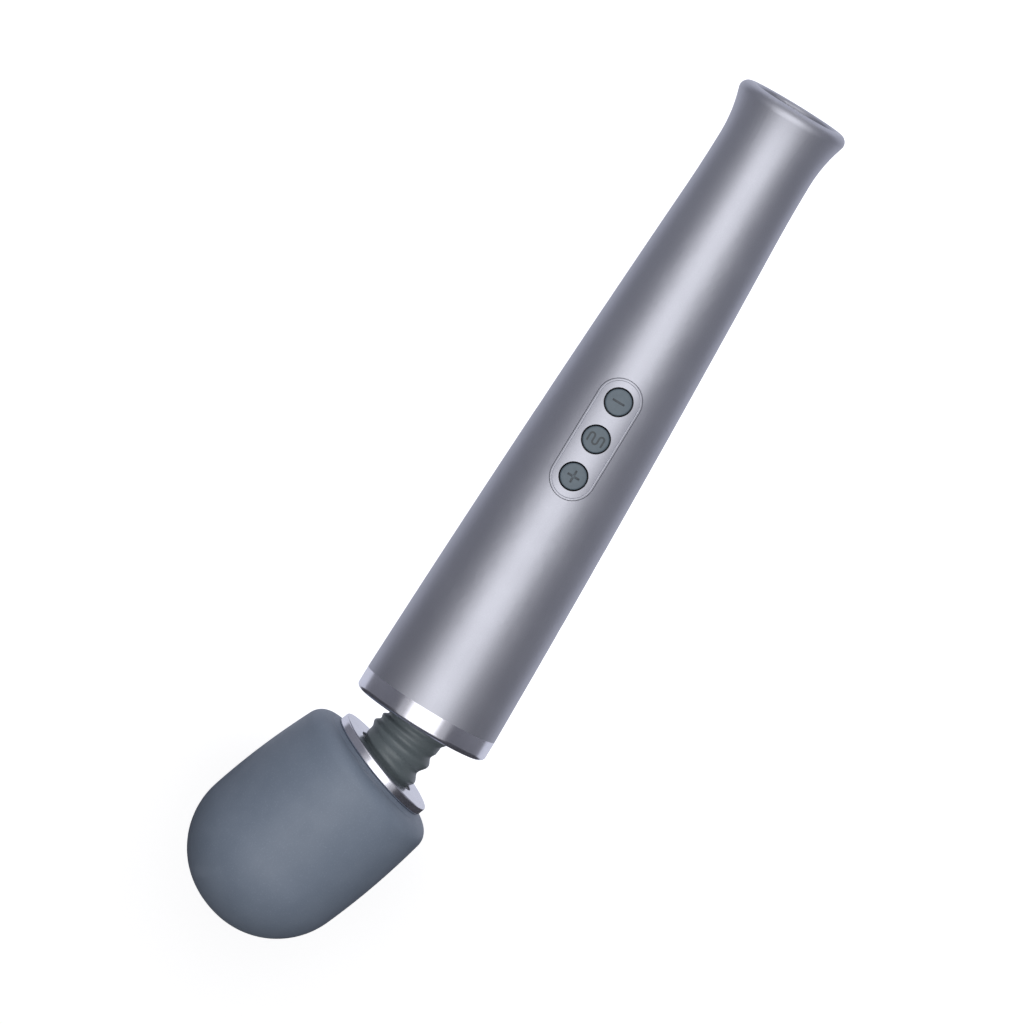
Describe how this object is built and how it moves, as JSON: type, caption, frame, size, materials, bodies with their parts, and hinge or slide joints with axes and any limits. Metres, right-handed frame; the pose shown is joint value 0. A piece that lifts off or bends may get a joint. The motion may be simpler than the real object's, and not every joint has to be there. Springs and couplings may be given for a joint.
{
  "type": "handheld wand massager",
  "caption": "Cordless wand massager with a flared metal handle, press buttons, a flexible ribbed neck and a rounded silicone vibrating head.",
  "frame": {"origin": "mouth of the charging port, on the handle's axis, in the flared tail", "axes": "+X along the handle from the tail to the head, +Z out of the button face; at rest the neck is bent towards -Y and a little down"},
  "size_m": [0.3309, 0.0732, 0.0608],
  "materials": {
    "satin_silver": "satin, metallic, fine",
    "polished_metal": "polished",
    "head_silicone": "matte, soft-touch",
    "neck_silicone": "satin, ribbed",
    "button_slate": "satin, engraved signs",
    "black_plastic": "moulded",
    "grey_plastic": "moulded",
    "switch_plunger": "moulded",
    "seal_rubber": "smooth",
    "board_green": "solder resist",
    "chip_black": "moulded",
    "capacitor_can": "drawn can",
    "battery_wrap": "shrink sleeve",
    "nickel": "rolled strip",
    "steel": "plated",
    "spring_steel": "drawn wire",
    "anchor_aluminium": "turned",
    "brass": "turned brass",
    "bronze": "sintered bronze",
    "copper": "copper",
    "magnet": "ferrite",
    "carbon_brush": "carbon",
    "wire_insulation": "insulated wire"
  },
  "bodies": {
    "handle": {"handle_shell": "satin_silver", "control_panel": "satin_silver", "end_cap": "satin_silver", "front_band": "polished_metal", "front_bulkhead": "black_plastic", "charge_socket": "black_plastic", "chassis_tray": "black_plastic", "chassis_cover": "black_plastic", "tact_switches": "black_plastic", "board_connectors": "black_plastic", "end_cap_seal": "seal_rubber", "bulkhead_seal": "seal_rubber", "control_board": "board_green", "board_chips": "chip_black", "board_capacitors": "capacitor_can", "battery_cell_rear": "battery_wrap", "battery_cell_front": "battery_wrap", "battery_tabs": "nickel", "socket_tabs": "nickel", "chassis_screws": "steel", "board_screws": "steel", "bulkhead_screws": "steel", "anchor_screws": "steel", "neck_anchor": "anchor_aluminium", "socket_pin": "brass", "charge_leads": "wire_insulation", "battery_leads": "wire_insulation", "handle_leads": "wire_insulation"},
    "button_minus": {"button_minus": "button_slate", "plunger_minus": "switch_plunger"},
    "button_mode": {"button_mode": "button_slate", "plunger_mode": "switch_plunger"},
    "button_plus": {"button_plus": "button_slate", "plunger_plus": "switch_plunger"},
    "neck_lower": {"neck_spring": "spring_steel"},
    "neck_upper": {"neck_boot": "neck_silicone", "neck_leads": "wire_insulation"},
    "head": {"head_collar": "polished_metal", "head_anchor": "anchor_aluminium", "head_cushion": "head_silicone", "motor_pod_cup": "grey_plastic", "motor_pod_dome": "grey_plastic", "pod_screws": "steel", "motor_can": "steel", "motor_end_bell": "black_plastic", "motor_magnets": "magnet", "motor_brushes": "carbon_brush", "motor_terminals": "brass", "bearing_front": "bronze", "bearing_rear": "bronze", "rubber_mount_rear": "seal_rubber", "rubber_mount_front": "seal_rubber", "head_leads": "wire_insulation"},
    "motor_rotor": {"motor_shaft": "steel", "armature_core": "steel", "armature_windings": "copper", "commutator": "copper", "eccentric_weight": "brass", "weight_screw": "steel"}
  },
  "joints": [
    {"name": "neck_swing", "type": "hinge", "parent": "handle", "child": "neck_lower", "pos_m": [0.23665, -0.00006, -0.00001], "axis": [0, -0.1874, 0.9823], "range_deg": [-2.55, 22.45], "stiffness_Nm_per_rad": 6, "deforming": ["neck_spring", "neck_boot", "neck_leads"]},
    {"name": "neck_nod", "type": "hinge", "parent": "neck_lower", "child": "neck_upper", "pos_m": [0.24256, -0.00072, -0.00014], "axis": [0.1728, 0.9675, 0.1846], "range_deg": [-25, 25], "stiffness_Nm_per_rad": 3, "deforming": ["neck_spring", "neck_boot", "neck_leads"]},
    {"name": "neck_swing_upper", "type": "hinge", "parent": "neck_upper", "child": "head", "pos_m": [0.24834, -0.00208, -0.0004], "axis": [0, -0.1874, 0.9823], "range_deg": [-2.55, 22.45], "stiffness_Nm_per_rad": 6, "deforming": ["neck_spring", "neck_boot", "neck_leads"]},
    {"name": "motor_spin", "type": "hinge", "parent": "head", "child": "motor_rotor", "pos_m": [0.29768, -0.01955, -0.00373], "axis": [0.9403, -0.3344, -0.0638], "continuous": true},
    {"name": "press_minus", "type": "slide", "parent": "handle", "child": "button_minus", "axis": [0, 0, -1], "range_m": [0, 0.0005], "stiffness_N_per_m": 2500},
    {"name": "press_mode", "type": "slide", "parent": "handle", "child": "button_mode", "axis": [0, 0, -1], "range_m": [0, 0.0005], "stiffness_N_per_m": 2500},
    {"name": "press_plus", "type": "slide", "parent": "handle", "child": "button_plus", "axis": [0, 0, -1], "range_m": [0, 0.0005], "stiffness_N_per_m": 2500}
  ],
  "couplings": [
    {"joint": "neck_swing_upper", "follows": "neck_swing", "ratio": 1}
  ]
}
